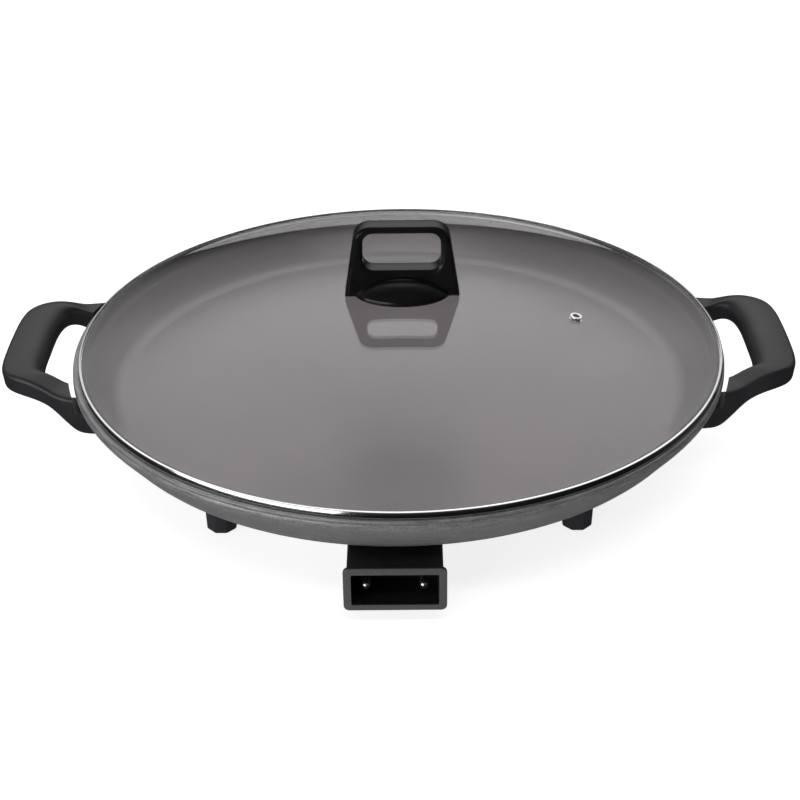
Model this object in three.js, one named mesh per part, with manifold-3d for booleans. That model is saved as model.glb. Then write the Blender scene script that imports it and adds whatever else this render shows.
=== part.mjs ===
// Electric skillet: a round cast pan on four feet, with two moulded side handles,
// a terminal socket under its front edge and a loose domed glass lid.
// Millimetres, +Z up. The origin is on the table under the middle of the pan,
// +X points right and +Y points back, so the socket faces -Y.

import * as THREE from 'three';
import { mergeVertices } from 'three/addons/utils/BufferGeometryUtils.js';
import Module from 'manifold-3d';

const wasm = await Module();
wasm.setup();

// Values shared by all pieces
const gap = 0.3; // running and seating clearance between neighbours
const overrun = 2; // how far a cut passes the face that it opens
const weldDistance = 1e-4; // corners closer than this are one corner
const roundSteps = 56; // facets round the pan and the lid
const smallSteps = 12; // facets round pins, bosses and holes
const screwSteps = 10; // facets round screws

// Pan casting
const panRadius = 205.2; // widest bead of the casting, just under the rim
const rimTopZ = 71.2; // rim above the table
const rimWidth = 4.6; // flat top of the rim
const rimStripDrop = 1.5; // height of the strip between the rim and the shadow groove
const rimStripLean = 1.2; // how far that strip leans out
const rimInnerLean = 0.3; // how far the step inside the rim leans in
const grooveDepth = 0.7;
const grooveHeight = 0.6;
const beadDrop = 4.7; // rim top to the widest bead
const cookingDepth = 27.2; // rim top to the cooking floor
const floorThickness = 6;
const cookingFloorInset = 30.7; // widest bead to the edge of the flat cooking floor
const rimStepDrop = 2.7; // short upright step inside the rim
const ledgeTopDrop = 6.9; // rim top to the outer edge of the sloping ledge
const ledgeBottomDrop = 9.2; // rim top to its inner edge
const ledgeInset = 2.6; // rim's inner edge to the ledge's outer edge
const ledgeWidth = 2.7;
const wallLean = 9.8; // how far the inner wall comes in below the ledge
const wallFootDrop = 20.9; // rim top to the foot of the straight wall
const baseInset = 33.2; // widest bead to the edge of the flat underside
const baseRoundWidth = 20.8; // plan width of the round between base and side
const baseRoundHeight = 12;
const flankTopInset = 2.7; // top of the straight flank, inside the bead
const flankTopDrop = 9.2; // rim top to the top of the straight flank

// Heating element and the channel that is cast for it
const elementDiameter = 8;
const legRun = 35; // plan length of the legs between the seals and the ring
const channelGap = 0.6; // element to each side of its channel
const ribThickness = 3;
const ribDepth = 7;
const elementSides = 8;
const elementSteps = 76;
const ringStartX = 36; // where each leg has joined the ring
const pinSpacing = 31.8;
const pinDiameter = 4.8;
const pinRecess = 3; // pin tips behind the flange's face
const pinTipRound = 1.4;
const sealRadius = 4.6;
const sealLength = 10.4;

// Terminal socket housing
const socketShift = -2; // the socket sits a little left of the middle
const flangeInset = 4.2; // flange's face behind the pan's widest bead
const flangeRim = 4.35; // flange beside the mouth
const flangeHeight = 27.9;
const flangeThickness = 2.6;
const flangeCorner = 3.2;
const flangeLip = 0.6; // flange above the body's top
const bodyCorner = 1.4;
const pinSideRoom = 8.25; // pin's middle to the side of the mouth
const mouthWall = 2.3; // housing beside the mouth
const mouthHeight = 20.1;
const mouthSill = 3.7; // flange below the mouth
const mouthCorner = 0.8;
const mouthDepth = 26;
const backWallThickness = 4;
const housingLength = 55;
const housingWall = 3.4;
const earReach = 10.6; // how far each mounting ear stands out sideways
const earLength = 16;
const earThickness = 6;
const earInset = 3; // ears start this far in front of the housing's back end
const earScrewReach = 5.6;

// Temperature probe sleeve and its cast boss
const sleeveRadius = 4.6;
const sleeveWall = 0.6;
const sleeveLength = 70.7;
const probeBossWidth = 16;
const probeBossEndWall = 4.3; // casting behind the sleeve's blind end

// Feet
const footSetback = 22.8; // middle of a foot outside the element ring
const footAngle = 43.6; // degrees from the X axis
const footSides = 8;
const footFlats = 17.6; // across the flats at the bottom
const footTopFlats = 19.6;
const footChamfer = 1.2;
const footBossRadius = 10;
const footBossDepth = 5;
const footWellDepth = 20;
const footWellRadius = 5;

// Screws
const screwRadius = 2;
const screwHoleClearance = 0.3;
const screwHeadRadius = 3.9;
const screwHeadHeight = 2.4;
const screwHeadRound = 0.7;
const blindHoleSpare = 0.6; // hole past the screw's tip
const footScrewBite = 8; // screw inside the casting
const housingScrewBite = 4.4;
const handleScrewBite = 5;

// Side handles: a loop whose two arms widen downwards to reach the pan's side
const handleRootInset = 27.2; // inner ends of the arms inside the pan's bead
const handleReach = 42.2; // outermost face of the grip beyond the bead
const handleHalfSpan = 67.2; // half the handle's length where it meets the pan
const handleRise = 6.2; // highest line of the grip above the rim
const handleDepth = 34.4; // grip's top to the bottom of the arms
const handleRound = 3.2; // rounded outer edge of the top
const handleWindowRound = 8.5; // top's round towards the window, at the middle of the grip
const handleUnderRound = 3; // rounded lower edges
const handleCrown = 1.6; // fall of the crowned top to its outer edge
const handleDraft = 1.2; // how far the outer side comes in towards the bottom
const rimAirGap = 2.6; // open gap between the pan's rim and the arms
const wallSeatGap = 0.5; // measured level, so about 0.35 square to the wall
const seatTopDrop = 12.5; // rim top to where the arms stop touching the wall
const lugWidth = 9;
const lugTopDrop = 12.9; // rim top to the lug's top
const lugHeight = 7;
const lugRoot = 2; // lug's inner end inside the arm's own end
const lugEndInset = 4.2; // lug's outer end inside the pan's bead
const lugInset = 10.2; // lug's middle inside the end of the handle's span
const handleScrewInset = 10.2; // screw inside the pan's bead
const handleScrewShelf = 2.6; // moulding between the screw's head and the lug
const handleWellRadius = 4.6;

// Glass lid, its rim band and vent
const lidShift = 1.2; // the loose lid lies a little off centre on the rim
const lidHandleShift = 1.6; // play of its screw in the glass
const glassInset = 2.9; // edge of the glass inside the pan's bead
const glassThickness = 2.6;
const lidRise = 31.2; // crown of the glass above its edge
const glassRings = 6;
const bandSheet = 0.4;
const bandLip = 2.6; // how far the band's lips reach over the glass
const bandRound = 1.1;
const ventPlaceRadius = 110.5;
const ventAngle = -9.3; // degrees from +X
const ventHoleRadius = 1.9;
const ventBarrelRadius = 2.7;
const ventFlangeRadius = 4.1;
const ventFlangeThickness = 0.8;
const ventSteps = 12;

// Lid handle: a bridge with a window, standing on an oval bell
const bridgeBaseWidth = 71.8;
const bridgeTopWidth = 57.4;
const bridgeHeight = 46.7;
const bridgeThickness = 14;
const bridgeCorner = 9;
const bridgeEdge = 1.2; // rounded edge of the bridge
const windowWidth = 48.4;
const windowHeight = 24.6;
const windowSill = 17.7; // bridge's underside to the window
const windowCorner = 7;
const bellLength = 60.7;
const bellWidth = 43;
const bellLip = 2.7;
const bellRise = 12.3;
const bellSteps = 28;
const insertRadius = 4;
const insertLength = 9.5;
const lidHoleRadius = 4;
const gasketRadius = 12;
const gasketThickness = 1;
const washerRadius = 11;
const washerThickness = 1.2;

// Places and heights that follow from the sizes above
const baseRadius = panRadius - baseInset;
const cookingFloorZ = rimTopZ - cookingDepth;
const baseZ = cookingFloorZ - floorThickness;
const elementZ = baseZ - gap - elementDiameter / 2;
const housingTopZ = baseZ - gap;
const flangeTopZ = housingTopZ + flangeLip;
const flangeBottomZ = flangeTopZ - flangeHeight;
const mouthMiddleZ = flangeBottomZ + mouthSill + mouthHeight / 2;
const rimInnerRadius = panRadius - rimStripLean / 2 - rimWidth;
const shankHole = screwRadius + screwHoleClearance;
const mouthWidth = pinSpacing + 2 * pinSideRoom;
const bodyWidth = mouthWidth + 2 * mouthWall;
const flangeWidth = mouthWidth + 2 * flangeRim;
const flangeFrontY = flangeInset - panRadius;
const backWallY = flangeFrontY + mouthDepth + backWallThickness;
const sheathFrontY = backWallY + sealLength + 2 * gap;
const sleeveEndY = backWallY + gap + sleeveLength;
const elementRadius = -sheathFrontY - legRun;
const handleRootX = panRadius - handleRootInset;
const handleOuterX = panRadius + handleReach;
const handleTopZ = rimTopZ + handleRise;
const handleScrewX = panRadius - handleScrewInset;
const lugY = handleHalfSpan - lugInset;
const glassRadius = panRadius - glassInset;

// Geometry helpers

// Welds a geometry's corners, drops collapsed triangles and makes a solid of it.
function solid(geometry) {
  const bare = geometry.clone();
  bare.deleteAttribute('normal');
  bare.deleteAttribute('uv');
  const welded = mergeVertices(bare, weldDistance);
  const index = welded.getIndex().array;
  const corners = [];
  for (let i = 0; i < index.length; i += 3) {
    const [a, b, c] = [index[i], index[i + 1], index[i + 2]];
    if (a !== b && b !== c && c !== a) corners.push(a, b, c);
  }
  const place = welded.getAttribute('position').array;
  const build = (tris) =>
    new wasm.Manifold(
      new wasm.Mesh({
        numProp: 3,
        vertProperties: new Float32Array(place),
        triVerts: new Uint32Array(tris),
      })
    );
  const made = build(corners);
  if (made.volume() > 0) return made;
  const turned = [];
  for (let i = 0; i < corners.length; i += 3) {
    turned.push(corners[i], corners[i + 2], corners[i + 1]);
  }
  return build(turned);
}

function geometryOf(body) {
  const mesh = body.getMesh();
  const geometry = new THREE.BufferGeometry();
  const places = [];
  for (let i = 0; i < mesh.vertProperties.length; i += mesh.numProp) {
    places.push(mesh.vertProperties[i], mesh.vertProperties[i + 1], mesh.vertProperties[i + 2]);
  }
  geometry.setAttribute('position', new THREE.BufferAttribute(new Float32Array(places), 3));
  geometry.setIndex(new THREE.BufferAttribute(new Uint32Array(mesh.triVerts), 1));
  return geometry;
}

function moved(geometry, x, y, z) {
  return geometry.clone().translate(x, y, z);
}

// Turns a profile of [radius, height] points about the Z axis.
function turnedAboutZ(points, steps) {
  const profile = points.map(([radius, height]) => new THREE.Vector2(radius, height));
  return new THREE.LatheGeometry(profile, steps).rotateX(Math.PI / 2);
}

// The same, for a path made of lines and curves.
function turnedPath(path, steps, curveSteps) {
  const points = path.getPoints(curveSteps).map((p) => [p.x, p.y]);
  return turnedAboutZ(points, steps);
}

// An upright cylinder from one height to another.
function upright(radius, bottomZ, topZ, steps = smallSteps) {
  const height = topZ - bottomZ;
  const rod = new THREE.CylinderGeometry(radius, radius, height, steps).rotateX(Math.PI / 2);
  return rod.translate(0, 0, bottomZ + height / 2);
}

// A box given by its lowest and highest corners.
function block(low, high) {
  const size = high.map((value, axis) => value - low[axis]);
  const middle = high.map((value, axis) => (value + low[axis]) / 2);
  return new THREE.BoxGeometry(...size).translate(...middle);
}

function roundedRectangle(width, height, corner) {
  const [x, y] = [width / 2, height / 2];
  const shape = new THREE.Shape();
  shape.moveTo(corner - x, -y);
  shape.lineTo(x - corner, -y);
  shape.absarc(x - corner, corner - y, corner, -Math.PI / 2, 0, false);
  shape.lineTo(x, y - corner);
  shape.absarc(x - corner, y - corner, corner, 0, Math.PI / 2, false);
  shape.lineTo(corner - x, y);
  shape.absarc(corner - x, y - corner, corner, Math.PI / 2, Math.PI, false);
  shape.lineTo(-x, corner - y);
  shape.absarc(corner - x, corner - y, corner, Math.PI, 1.5 * Math.PI, false);
  return shape;
}

// Extrudes an XZ outline along Y, from the front face at frontY to the back.
function alongY(shape, frontY, length, curveSegments, bevel = 0) {
  const geometry = new THREE.ExtrudeGeometry(shape, {
    depth: length - 2 * bevel,
    curveSegments,
    bevelEnabled: bevel > 0,
    bevelThickness: bevel,
    bevelSize: bevel,
    bevelOffset: -bevel,
    bevelSegments: 2,
  });
  return geometry.rotateX(Math.PI / 2).translate(0, frontY + length - bevel, 0);
}

// Skins a closed body over a run of rings that all have the same number of points.
function loft(rings) {
  const perRing = rings[0].length;
  const places = rings.flat().flatMap((p) => [p.x, p.y, p.z]);
  const faces = [];
  for (let ring = 0; ring + 1 < rings.length; ring += 1) {
    for (let side = 0; side < perRing; side += 1) {
      const next = (side + 1) % perRing;
      const [a, b] = [ring * perRing + side, ring * perRing + next];
      const [c, d] = [a + perRing, b + perRing];
      faces.push(a, b, d, a, d, c);
    }
  }
  const last = (rings.length - 1) * perRing;
  for (let side = 1; side + 1 < perRing; side += 1) {
    faces.push(0, side + 1, side, last, last + side, last + side + 1);
  }
  const geometry = new THREE.BufferGeometry();
  geometry.setAttribute('position', new THREE.BufferAttribute(new Float32Array(places), 3));
  geometry.setIndex(faces);
  return geometry;
}

function finish(colour, roughness, metalness) {
  return new THREE.MeshStandardMaterial({ color: colour, roughness, metalness });
}

function named(name, geometry, material) {
  const mesh = new THREE.Mesh(geometry, material);
  mesh.name = name;
  return mesh;
}

const castPaint = () => finish(0x77787a, 0.5, 0.7);
const blackMoulding = () => finish(0x202124, 0.45, 0);
const softBlack = () => finish(0x46464a, 0.6, 0);
const steel = () => finish(0xc9cacc, 0.3, 1);
const ceramic = () => finish(0xe4e0d4, 0.7, 0);

// Pan
// The outside is one turned profile; side is the clearance that a seat keeps from it.
function panOutside(side) {
  const bead = panRadius + side;
  const flankTop = bead - flankTopInset;
  const flankFoot = baseRadius + baseRoundWidth + side;
  const baseEdge = baseRadius + side;
  const bottomZ = baseZ - side;
  const stripTop = bead - rimStripLean / 2;
  const stripFoot = bead - grooveDepth / 2;
  const grooveTopZ = rimTopZ - rimStripDrop;
  const path = new THREE.Path();
  path.moveTo(0, rimTopZ);
  path.lineTo(stripTop - rimStripLean / 2, rimTopZ);
  path.lineTo(stripTop, rimTopZ - rimStripLean / 2);
  path.lineTo(stripFoot, grooveTopZ);
  path.lineTo(stripFoot - grooveDepth, grooveTopZ - grooveHeight / 2);
  path.lineTo(bead - grooveDepth, grooveTopZ - grooveHeight);
  path.lineTo(bead, rimTopZ - beadDrop);
  path.quadraticCurveTo(bead, rimTopZ - flankTopDrop + baseRoundHeight / 6, flankTop, rimTopZ - flankTopDrop);
  path.lineTo(flankFoot, baseZ + baseRoundHeight);
  path.quadraticCurveTo(baseEdge + baseRoundWidth / 2, bottomZ, baseEdge, bottomZ);
  return path;
}

function elementChannel(path) {
  const channel = elementDiameter / 2 + channelGap;
  const crest = baseZ - ribDepth;
  const taper = ribThickness / 6;
  path.lineTo(elementRadius + channel + ribThickness, baseZ);
  path.lineTo(elementRadius + channel + ribThickness - taper, crest);
  path.lineTo(elementRadius + channel, crest);
  path.lineTo(elementRadius + channel, baseZ);
  path.lineTo(elementRadius - channel, baseZ);
  path.lineTo(elementRadius - channel, crest);
  path.lineTo(elementRadius - channel - ribThickness + taper, crest);
  path.lineTo(elementRadius - channel - ribThickness, baseZ);
  path.lineTo(0, baseZ);
  return path;
}

function cookingSpace() {
  const ledgeOuter = rimInnerRadius - ledgeInset;
  const ledgeInner = ledgeOuter - ledgeWidth;
  const wallFoot = ledgeInner - wallLean;
  const wallFootZ = rimTopZ - wallFootDrop;
  const wallSlope = wallLean / (wallFootDrop - ledgeBottomDrop);
  const filletX = wallFoot - (wallFootZ - cookingFloorZ) * wallSlope;
  const path = new THREE.Path();
  path.moveTo(0, cookingFloorZ);
  path.lineTo(panRadius - cookingFloorInset, cookingFloorZ);
  path.quadraticCurveTo(filletX, cookingFloorZ, wallFoot, wallFootZ);
  path.lineTo(ledgeInner, rimTopZ - ledgeBottomDrop);
  path.lineTo(ledgeOuter, rimTopZ - ledgeTopDrop);
  path.lineTo(rimInnerRadius - rimInnerLean, rimTopZ - rimStepDrop);
  path.lineTo(rimInnerRadius, rimTopZ);
  path.lineTo(rimInnerRadius, rimTopZ + overrun);
  path.lineTo(0, rimTopZ + overrun);
  return turnedPath(path, roundSteps, 4);
}

const footPlaceRadius = elementRadius + footSetback;
const footX = footPlaceRadius * Math.cos(THREE.MathUtils.degToRad(footAngle));
const footY = footPlaceRadius * Math.sin(THREE.MathUtils.degToRad(footAngle));
const footPlaces = [
  ['front_left', -footX, -footY],
  ['front_right', footX, -footY],
  ['rear_left', -footX, footY],
  ['rear_right', footX, footY],
];
const handleSides = [
  ['left', -1],
  ['right', 1],
];
const armEnds = [
  ['front', -1],
  ['rear', 1],
];
const housingBackY = flangeFrontY + housingLength;
const probeBossFrontY = housingBackY + gap;
const earScrewY = housingBackY - earInset - earLength / 2;
const earScrewX = bodyWidth / 2 + earScrewReach;
const lugTopZ = rimTopZ - lugTopDrop;
const lugBottomZ = lugTopZ - lugHeight;

// One handle lug, or the pocket that takes it when grown by a clearance.
function lug(side, end, clearance) {
  const inner = handleRootX - lugRoot - clearance;
  const outer = panRadius - lugEndInset + clearance;
  const half = lugWidth / 2 + clearance;
  const low = [inner, end * lugY - half, lugBottomZ - clearance];
  const high = [outer, end * lugY + half, lugTopZ + clearance];
  const shape = block(low, high);
  return side < 0 ? shape.rotateZ(Math.PI) : shape;
}

// Tombstone outline of the cast boss that holds the probe sleeve.
function probeBoss() {
  const half = probeBossWidth / 2;
  const shape = new THREE.Shape();
  shape.moveTo(-half, baseZ + overrun);
  shape.lineTo(-half, mouthMiddleZ);
  shape.absarc(0, mouthMiddleZ, half, Math.PI, 2 * Math.PI, false);
  shape.lineTo(half, baseZ + overrun);
  const length = sleeveEndY + gap + probeBossEndWall - probeBossFrontY;
  const boss = alongY(shape, probeBossFrontY, length, smallSteps / 2);
  return boss.translate(socketShift, 0, 0);
}

function alongYRod(radius, frontY, backY, x, z, steps = smallSteps) {
  const rod = new THREE.CylinderGeometry(radius, radius, backY - frontY, steps);
  return rod.translate(x, (frontY + backY) / 2, z);
}

function makePan() {
  let body = solid(turnedPath(elementChannel(panOutside(0)), roundSteps, 4));
  const gate = block(
    [socketShift - ringStartX, -elementRadius - ringStartX / 2, baseZ - ribDepth - overrun],
    [socketShift + ringStartX, -elementRadius + ringStartX / 2, baseZ]
  );
  body = body.subtract(solid(gate)).add(solid(probeBoss()));
  for (const [, x, y] of footPlaces) {
    const boss = upright(footBossRadius, baseZ - footBossDepth, baseZ + overrun, smallSteps);
    body = body.add(solid(moved(boss, x, y, 0)));
  }
  for (const [, side] of handleSides) {
    for (const [, end] of armEnds) {
      body = body.add(solid(lug(side, end, 0)));
    }
  }
  body = body.subtract(solid(cookingSpace()));
  for (const [, x, y] of footPlaces) {
    const top = baseZ - footBossDepth + footScrewBite + blindHoleSpare;
    const hole = upright(shankHole, baseZ - footBossDepth - overrun, top);
    body = body.subtract(solid(moved(hole, x, y, 0)));
  }
  for (const [, side] of handleSides) {
    for (const [, end] of armEnds) {
      const hole = upright(shankHole, lugBottomZ - overrun, lugBottomZ + handleScrewBite + blindHoleSpare);
      body = body.subtract(solid(moved(hole, side * handleScrewX, end * lugY, 0)));
    }
    const earHole = upright(shankHole, baseZ - overrun, baseZ + housingScrewBite + blindHoleSpare);
    body = body.subtract(solid(moved(earHole, socketShift + side * earScrewX, earScrewY, 0)));
  }
  const bore = alongYRod(
    sleeveRadius + gap,
    probeBossFrontY - overrun,
    sleeveEndY + gap,
    socketShift,
    mouthMiddleZ
  );
  return geometryOf(body.subtract(solid(bore)));
}

// Heating element
// Each leg leaves the socket straight, climbs to the channel and swings into the ring.
// Rows are shares of the way back, of the way out to the ring and of the climb.
const legShares = [
  [0, 0, 0],
  [0.2, 0, 0],
  [0.35, 0, 0.15],
  [0.52, 0.02, 0.67],
  [0.69, 0.13, 0.95],
  [0.88, 0.5, 1],
];
const pinTipY = flangeFrontY + pinRecess;
const pinLength = sheathFrontY - gap - pinTipY;
const ringStartAngle = Math.acos(ringStartX / elementRadius);

function elementLeg(side) {
  const startX = side * (pinSpacing / 2) + socketShift;
  const ringY = -elementRadius * Math.sin(ringStartAngle);
  return legShares.map(
    ([back, out, climb]) =>
      new THREE.Vector3(
        startX + (side * ringStartX - startX) * out,
        sheathFrontY + (ringY - sheathFrontY) * back,
        mouthMiddleZ + (elementZ - mouthMiddleZ) * climb
      )
  );
}

function makeElement() {
  const ring = [];
  const ringPoints = 36;
  const sweep = 2 * Math.PI - 2 * (Math.PI / 2 - ringStartAngle);
  for (let i = 0; i <= ringPoints; i += 1) {
    const angle = -ringStartAngle + (sweep * i) / ringPoints;
    ring.push(new THREE.Vector3(elementRadius * Math.cos(angle), elementRadius * Math.sin(angle), elementZ));
  }
  const route = new THREE.CatmullRomCurve3([...elementLeg(1), ...ring, ...elementLeg(-1).reverse()]);
  const section = [];
  for (let i = 0; i < elementSides; i += 1) {
    const angle = (2 * Math.PI * i) / elementSides;
    const radius = elementDiameter / 2;
    section.push(new THREE.Vector2(radius * Math.cos(angle), radius * Math.sin(angle)));
  }
  const tube = new THREE.ExtrudeGeometry(new THREE.Shape(section), {
    steps: elementSteps,
    extrudePath: route,
    bevelEnabled: false,
  });
  return geometryOf(solid(tube));
}

// Terminal pin with a rounded tip, lying along Y.
function makePin() {
  const radius = pinDiameter / 2;
  const path = new THREE.Path();
  path.moveTo(0, 0);
  path.lineTo(radius - pinTipRound, 0);
  path.quadraticCurveTo(radius, 0, radius, pinTipRound);
  path.lineTo(radius, pinLength);
  path.lineTo(0, pinLength);
  const points = path.getPoints(3);
  return geometryOf(solid(new THREE.LatheGeometry(points, smallSteps)));
}

// Ceramic seal ring between the housing's back wall and the element's sheath.
function makeSeal() {
  const inner = pinDiameter / 2 + gap;
  const round = sealRadius / 8;
  const points = [
    [inner, 0],
    [sealRadius - round, 0],
    [sealRadius, round],
    [sealRadius, sealLength - round],
    [sealRadius - round, sealLength],
    [inner, sealLength],
    [inner, 0],
  ].map(([radius, along]) => new THREE.Vector2(radius, along));
  return geometryOf(solid(new THREE.LatheGeometry(points, smallSteps)));
}

// Blind steel tube, open towards the socket.
function makeSleeve() {
  const inner = sleeveRadius - sleeveWall;
  const points = [
    [0, sleeveLength - sleeveWall],
    [inner, sleeveLength - sleeveWall],
    [inner, 0],
    [sleeveRadius, 0],
    [sleeveRadius, sleeveLength - sleeveWall],
    [sleeveRadius - sleeveWall, sleeveLength],
    [0, sleeveLength],
  ].map(([radius, along]) => new THREE.Vector2(radius, along));
  return geometryOf(solid(new THREE.LatheGeometry(points, smallSteps)));
}

// Terminal socket housing
// A flanged mouth, a back wall that the pins pass, and a hood over the element's ends.
function makeHousing() {
  const bodyBottomZ = flangeBottomZ + flangeLip + (flangeWidth - bodyWidth) / 2;
  const bodyHeight = housingTopZ - bodyBottomZ;
  const bodyMiddleZ = (housingTopZ + bodyBottomZ) / 2;
  const flangeMiddleZ = (flangeTopZ + flangeBottomZ) / 2;
  const flange = alongY(
    roundedRectangle(flangeWidth, flangeHeight, flangeCorner),
    flangeFrontY,
    flangeThickness,
    3
  ).translate(0, 0, flangeMiddleZ);
  const box = alongY(
    roundedRectangle(bodyWidth, bodyHeight, bodyCorner),
    flangeFrontY + flangeThickness / 2,
    housingLength - flangeThickness / 2,
    2
  ).translate(0, 0, bodyMiddleZ);
  let body = solid(flange).add(solid(box));
  for (const [, side] of handleSides) {
    const reach = bodyWidth / 2 + earReach;
    const backY = housingBackY - earInset;
    const low = [-reach, backY - earLength, housingTopZ - earThickness];
    const ear = block(low, [-bodyWidth / 2 + bodyCorner, backY, housingTopZ - bodyCorner / 2]);
    if (side > 0) ear.scale(-1, 1, 1);
    const hole = upright(shankHole, housingTopZ - earThickness - overrun, housingTopZ + overrun);
    body = body.add(solid(ear)).subtract(solid(moved(hole, side * earScrewX, earScrewY, 0)));
  }
  const mouth = alongY(
    roundedRectangle(mouthWidth, mouthHeight, mouthCorner),
    flangeFrontY - overrun,
    mouthDepth + overrun,
    2
  ).translate(0, 0, mouthMiddleZ);
  body = body.subtract(solid(mouth));
  const hood = block(
    [-bodyWidth / 2 + housingWall, backWallY, bodyBottomZ + housingWall],
    [bodyWidth / 2 - housingWall, housingBackY + overrun, housingTopZ - housingWall]
  );
  body = body.subtract(solid(hood));
  const holes = [
    [-pinSpacing / 2, pinDiameter / 2 + gap],
    [0, sleeveRadius - sleeveWall + gap],
    [pinSpacing / 2, pinDiameter / 2 + gap],
  ];
  for (const [x, radius] of holes) {
    const front = backWallY - backWallThickness - overrun;
    body = body.subtract(solid(alongYRod(radius, front, backWallY + overrun, x, mouthMiddleZ)));
  }
  return geometryOf(body).translate(socketShift, 0, 0);
}

// Foot: an eight-sided tapered post with a screw well in its underside.
function makeFoot() {
  const halfTurn = Math.PI / footSides;
  const flatsToCorners = 1 / Math.cos(halfTurn);
  const top = baseZ - footBossDepth - gap;
  const bottomRadius = (footFlats / 2) * flatsToCorners;
  const topRadius = (footTopFlats / 2) * flatsToCorners;
  const points = [
    [0, 0],
    [bottomRadius - footChamfer, 0],
    [bottomRadius, footChamfer],
    [topRadius, top],
    [0, top],
  ];
  const post = turnedAboutZ(points, footSides).rotateZ(halfTurn);
  const well = upright(footWellRadius, -overrun, footWellDepth);
  const hole = upright(shankHole, footWellDepth - overrun, top + overrun);
  return geometryOf(solid(post).subtract(solid(well)).subtract(solid(hole)));
}

// Pan-head screw standing on its head, with the underside of the head at height zero.
function makeScrew(length) {
  const points = [
    [0, -screwHeadHeight],
    [screwHeadRadius - screwHeadRound, -screwHeadHeight],
    [screwHeadRadius, screwHeadRound - screwHeadHeight],
    [screwHeadRadius, 0],
    [screwRadius, 0],
    [screwRadius, length - screwRadius / 2],
    [screwRadius / 2, length],
    [0, length],
  ];
  return geometryOf(solid(turnedAboutZ(points, screwSteps)));
}

// Side handle
// Stations run from the middle of the grip to the end of one arm. Each row holds shares of
// the reach and of the half span for the window edge and for the outer edge, then shares of
// the depth for the top and for the bottom, of the window's round and of the crown.
const handleShares = [
  [0.64, 0, 1, 0, 0, 0.413, 1, 1],
  [0.637, 0.327, 0.988, 0.424, 0, 0.413, 1, 1],
  [0.628, 0.491, 0.961, 0.58, 0, 0.413, 0.96, 1],
  [0.595, 0.565, 0.912, 0.682, 0, 0.416, 0.87, 0.94],
  [0.559, 0.622, 0.827, 0.753, 0.003, 0.422, 0.73, 0.75],
  [0.514, 0.653, 0.725, 0.808, 0.023, 0.439, 0.56, 0.56],
  [0.467, 0.67, 0.627, 0.85, 0.073, 0.477, 0.42, 0.38],
  [0.418, 0.682, 0.537, 0.884, 0.137, 0.541, 0.33, 0.25],
  [0.363, 0.69, 0.458, 0.921, 0.198, 0.634, 0.28, 0.19],
  [0.3, 0.695, 0.367, 0.961, 0.227, 0.785, 0.26, 0.19],
  [0.223, 0.696, 0.274, 0.985, 0.235, 0.942, 0.26, 0.19],
  [0, 0.696, 0, 1, 0.238, 1, 0.26, 0.19],
];

// One ring of the loop: a box with rounded edges and a crowned top.
function handleRing(shares, end) {
  const [innerX, innerY, outerX, outerY, topShare, bottomShare, roundShare, crownShare] = shares;
  const reach = handleOuterX - handleRootX;
  const inner = new THREE.Vector2(handleRootX + reach * innerX, end * handleHalfSpan * innerY);
  const outer = new THREE.Vector2(handleRootX + reach * outerX, end * handleHalfSpan * outerY);
  const width = inner.distanceTo(outer);
  const topZ = handleTopZ - handleDepth * topShare;
  const bottomZ = handleTopZ - handleDepth * bottomShare;
  const edgeZ = topZ - handleCrown * crownShare;
  const windowRound = handleWindowRound * roundShare;
  const windowEdgeZ = (topZ + edgeZ) / 2;
  const footWidth = width - handleDraft;
  const outline = [];
  const corners = [
    [width - handleRound, edgeZ - handleRound, 0, handleRound],
    [windowRound, windowEdgeZ - windowRound, Math.PI / 2, windowRound],
    [handleUnderRound, bottomZ + handleUnderRound, Math.PI, handleUnderRound],
    [footWidth - handleUnderRound, bottomZ + handleUnderRound, 1.5 * Math.PI, handleUnderRound],
  ];
  corners.forEach(([along, height, start, radius], corner) => {
    for (const turn of [0, Math.PI / 4, Math.PI / 2]) {
      const angle = start + turn;
      outline.push([along + radius * Math.cos(angle), height + radius * Math.sin(angle)]);
    }
    if (corner === 0) outline.push([width / 2, topZ]);
  });
  return outline.map(([along, height]) => {
    const point = inner.clone().lerp(outer, along / width);
    return new THREE.Vector3(point.x, point.y, height);
  });
}

function makeSideHandle() {
  const rear = handleShares.map((row) => handleRing(row, 1)).reverse();
  const front = handleShares.slice(1).map((row) => handleRing(row, -1));
  let body = solid(loft([...rear, ...front]));
  const wallSeat = turnedPath(panOutside(wallSeatGap).lineTo(0, baseZ - wallSeatGap), roundSteps, 4);
  body = body.subtract(solid(wallSeat));
  const aboveTheRim = upright(
    panRadius + rimAirGap,
    rimTopZ - seatTopDrop,
    handleTopZ + overrun,
    roundSteps
  );
  body = body.subtract(solid(aboveTheRim));
  for (const [, end] of armEnds) {
    const shelfZ = lugBottomZ - gap - handleScrewShelf;
    const well = upright(handleWellRadius, handleTopZ - handleDepth - overrun, shelfZ);
    const hole = upright(shankHole, shelfZ - overrun, lugBottomZ);
    body = body
      .subtract(solid(lug(1, end, gap)))
      .subtract(solid(moved(well, handleScrewX, end * lugY, 0)))
      .subtract(solid(moved(hole, handleScrewX, end * lugY, 0)));
  }
  return geometryOf(body);
}

// Lid
const glassEdgeBottomZ = rimTopZ + gap + bandSheet + gap;
const crownZ = glassEdgeBottomZ + glassThickness + lidRise;
const glassBallRadius = (glassRadius ** 2 + lidRise ** 2) / (2 * lidRise);

function glassTopZ(radius) {
  return crownZ - glassBallRadius + Math.sqrt(glassBallRadius ** 2 - radius ** 2);
}

function glassBottomZ(radius) {
  return glassTopZ(radius) - glassThickness;
}

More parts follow.
